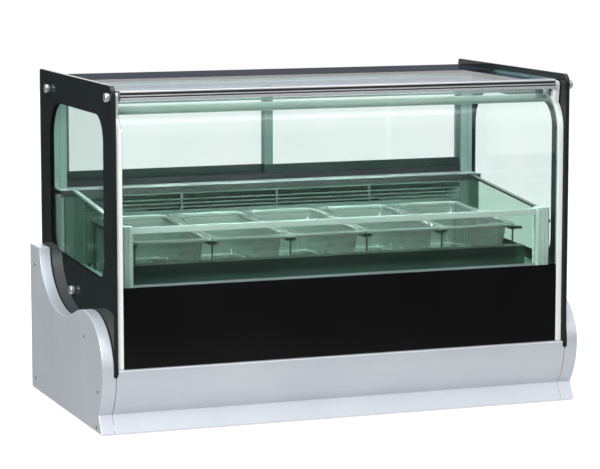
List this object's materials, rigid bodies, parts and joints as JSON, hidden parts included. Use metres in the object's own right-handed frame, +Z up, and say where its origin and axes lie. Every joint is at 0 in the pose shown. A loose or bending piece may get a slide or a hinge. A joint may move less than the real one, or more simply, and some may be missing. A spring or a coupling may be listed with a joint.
{
  "type": "countertop freezer showcase",
  "caption": "Countertop freezer display: painted base with moulded cheeks, black-edged side glasses, swing-up curved front pane, sliding rear doors and a row of clear lift-out pans.",
  "frame": {"origin": "centre of the footprint, on the surface that the feet stand on", "axes": "+X to the customer's right along the longest side, +Y from the customer's side to the serving side, +Z up"},
  "size_m": [1.09, 0.582, 0.727],
  "materials": {
    "silver_paint": "satin silver powder coat with a fine metallic grain",
    "black_glass": "tempered glass with a black enamel print",
    "clear_glass": "clear float glass, faintly green",
    "aluminium": "satin anodised",
    "stainless": "fine brushed",
    "chrome": "polished",
    "black_plastic": "fine satin",
    "rubber": "matte",
    "insulation": "rigid polyurethane foam",
    "galvanised": "galvanised sheet",
    "clear_plastic": "clear polycarbonate",
    "black_enamel": "gloss black enamel",
    "coil_metal": "finned, as rolled",
    "lamp_white": "opal diffuser"
  },
  "bodies": {
    "cabinet": {"front_fascia": "silver_paint", "cheek_cover_left": "silver_paint", "cheek_cover_right": "silver_paint", "rear_service_panel": "silver_paint", "side_glass_left": "black_glass", "side_glass_right": "black_glass", "top_glass": "black_glass", "inner_front_glass": "clear_glass", "inner_side_glass_left": "clear_glass", "inner_side_glass_right": "clear_glass", "top_front_profile": "aluminium", "door_head_track": "aluminium", "rear_upright_left": "aluminium", "rear_upright_right": "aluminium", "inner_front_rail": "aluminium", "inner_post_left": "aluminium", "inner_post_right": "aluminium", "inner_side_rail_left": "aluminium", "inner_side_rail_right": "aluminium", "tank_liner": "stainless", "air_louvre": "stainless", "rear_worktop": "stainless", "pan_rack": "stainless", "glass_bolt_front_left": "chrome", "glass_bolt_front_right": "chrome", "glass_bolt_rear_left": "chrome", "glass_bolt_rear_right": "chrome", "glass_bolt_lower_left": "chrome", "glass_bolt_lower_right": "chrome", "door_sill_track": "black_plastic", "mains_inlet": "black_plastic", "foot_front_left": "rubber", "foot_front_right": "rubber", "foot_rear_left": "rubber", "foot_rear_right": "rubber", "insulation_tub": "insulation", "base_chassis": "galvanised", "condenser_fan_motor": "galvanised", "evaporator_fan_motor": "galvanised", "compressor": "black_enamel", "condenser_coil": "coil_metal", "evaporator_coil": "coil_metal", "lamp": "lamp_white"},
    "front_pane": {"front_glass": "clear_glass", "glass_trim_left": "aluminium", "glass_trim_right": "aluminium"},
    "door_left": {"door_frame_left": "aluminium", "door_pane_left": "clear_glass"},
    "door_right": {"door_frame_right": "aluminium", "door_pane_right": "clear_glass"},
    "condenser_fan_rotor": {"condenser_fan": "black_plastic"},
    "evaporator_fan_rotor": {"evaporator_fan": "black_plastic"},
    "power_rocker": {"power_switch": "black_plastic"},
    "light_rocker": {"light_switch": "black_plastic"},
    "knob": {"thermostat_knob": "black_plastic"},
    "body_pan_1": {"pan_1": "clear_plastic"},
    "body_pan_2": {"pan_2": "clear_plastic"},
    "body_pan_3": {"pan_3": "clear_plastic"},
    "body_pan_4": {"pan_4": "clear_plastic"},
    "body_pan_5": {"pan_5": "clear_plastic"}
  },
  "joints": [
    {"name": "front_pane_hinge", "type": "hinge", "parent": "cabinet", "child": "front_pane", "pos_m": [0, -0.25365, 0.702], "axis": [-1, 0, 0], "range_deg": [0, 78]},
    {"name": "door_left_slide", "type": "slide", "parent": "cabinet", "child": "door_left", "axis": [1, 0, 0], "range_m": [0, 0.45]},
    {"name": "door_right_slide", "type": "slide", "parent": "cabinet", "child": "door_right", "axis": [-1, 0, 0], "range_m": [0, 0.45]},
    {"name": "pan_1_lift", "type": "slide", "parent": "cabinet", "child": "body_pan_1", "axis": [0, 0, 1], "range_m": [0, 0.12]},
    {"name": "pan_2_lift", "type": "slide", "parent": "cabinet", "child": "body_pan_2", "axis": [0, 0, 1], "range_m": [0, 0.12]},
    {"name": "pan_3_lift", "type": "slide", "parent": "cabinet", "child": "body_pan_3", "axis": [0, 0, 1], "range_m": [0, 0.12]},
    {"name": "pan_4_lift", "type": "slide", "parent": "cabinet", "child": "body_pan_4", "axis": [0, 0, 1], "range_m": [0, 0.12]},
    {"name": "pan_5_lift", "type": "slide", "parent": "cabinet", "child": "body_pan_5", "axis": [0, 0, 1], "range_m": [0, 0.12]},
    {"name": "condenser_fan_spin", "type": "hinge", "parent": "cabinet", "child": "condenser_fan_rotor", "pos_m": [0.265, 0.17635, 0.118], "axis": [0, 1, 0], "continuous": true},
    {"name": "evaporator_fan_spin", "type": "hinge", "parent": "cabinet", "child": "evaporator_fan_rotor", "pos_m": [0, 0.17535, 0.345], "axis": [0, 1, 0], "continuous": true},
    {"name": "power_switch_rock", "type": "hinge", "parent": "cabinet", "child": "power_rocker", "pos_m": [-0.4, 0.28135, 0.175], "axis": [1, 0, 0], "range_deg": [0, 16]},
    {"name": "light_switch_rock", "type": "hinge", "parent": "cabinet", "child": "light_rocker", "pos_m": [-0.36, 0.28135, 0.175], "axis": [1, 0, 0], "range_deg": [0, 16]},
    {"name": "thermostat_turn", "type": "hinge", "parent": "cabinet", "child": "knob", "pos_m": [-0.3, 0.28135, 0.175], "axis": [0, 1, 0], "range_deg": [0, 270]}
  ]
}
